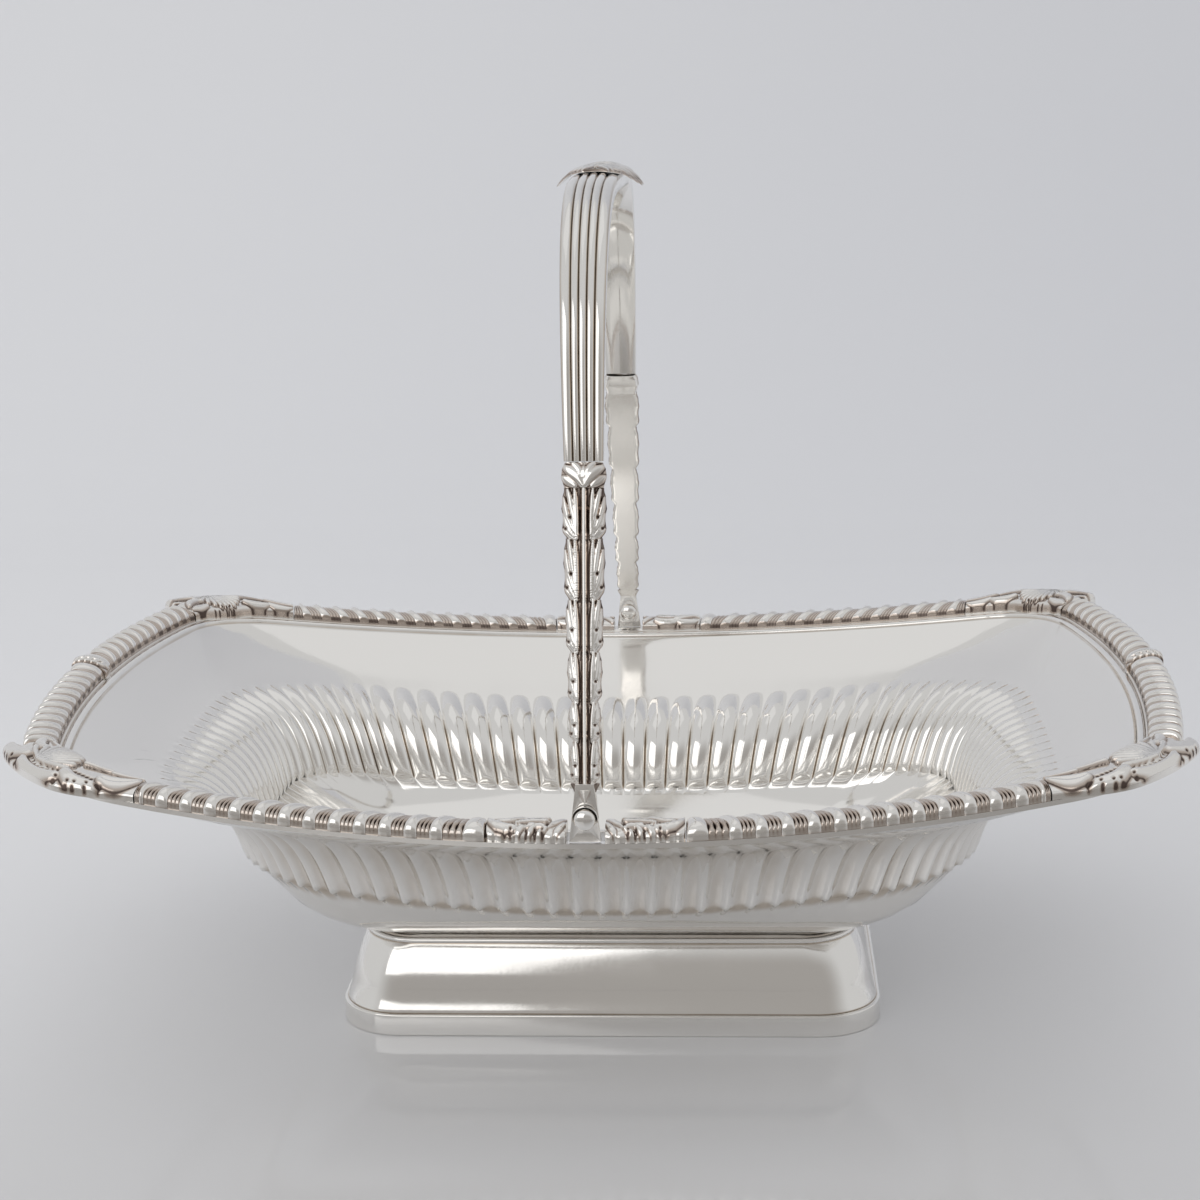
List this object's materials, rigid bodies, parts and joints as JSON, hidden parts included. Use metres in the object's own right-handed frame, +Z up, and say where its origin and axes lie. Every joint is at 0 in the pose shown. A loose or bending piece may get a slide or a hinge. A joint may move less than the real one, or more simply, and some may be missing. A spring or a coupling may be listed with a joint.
{
  "type": "swing-handled basket",
  "caption": "Oblong silver basket with a fluted bowl, gadroon and shell border, rectangular foot and a swing handle that turns over the rim.",
  "frame": {"origin": "middle of the rectangle that the foot stands on", "axes": "+X along the basket's length towards the right end, +Y across it towards the back rivet, +Z up"},
  "size_m": [0.3564, 0.2668, 0.2693],
  "materials": {
    "polished_silver": "silver polished by hand, with soft sheen and fine wear",
    "cast_silver": "cast and chased silver, bright on its crests and oxidised brown in its recesses"
  },
  "bodies": {
    "body": {"bowl": "polished_silver", "foot_wall": "polished_silver", "foot_base_band": "polished_silver", "front_right_centre_leaf": "cast_silver", "front_right_side_gadroon": "cast_silver", "front_right_corner_shell": "cast_silver", "front_right_end_gadroon": "cast_silver", "back_right_centre_leaf": "cast_silver", "back_right_side_gadroon": "cast_silver", "back_right_corner_shell": "cast_silver", "back_right_end_gadroon": "cast_silver", "back_left_centre_leaf": "cast_silver", "back_left_side_gadroon": "cast_silver", "back_left_corner_shell": "cast_silver", "back_left_end_gadroon": "cast_silver", "front_left_centre_leaf": "cast_silver", "front_left_side_gadroon": "cast_silver", "front_left_corner_shell": "cast_silver", "front_left_end_gadroon": "cast_silver", "right_end_band": "cast_silver", "left_end_band": "cast_silver", "front_hinge_lug": "polished_silver", "back_hinge_lug": "polished_silver", "front_hinge_pin": "polished_silver", "back_hinge_pin": "polished_silver"},
    "handle": {"front_arm": "cast_silver", "back_arm": "cast_silver", "front_collar": "cast_silver", "back_collar": "cast_silver", "handle_bow": "polished_silver", "crown_leaf": "cast_silver"}
  },
  "joints": [
    {"name": "handle_swing", "type": "hinge", "parent": "body", "child": "handle", "pos_m": [0, 0, 0.0972], "axis": [0, 1, 0], "range_deg": [-66, 66]}
  ]
}
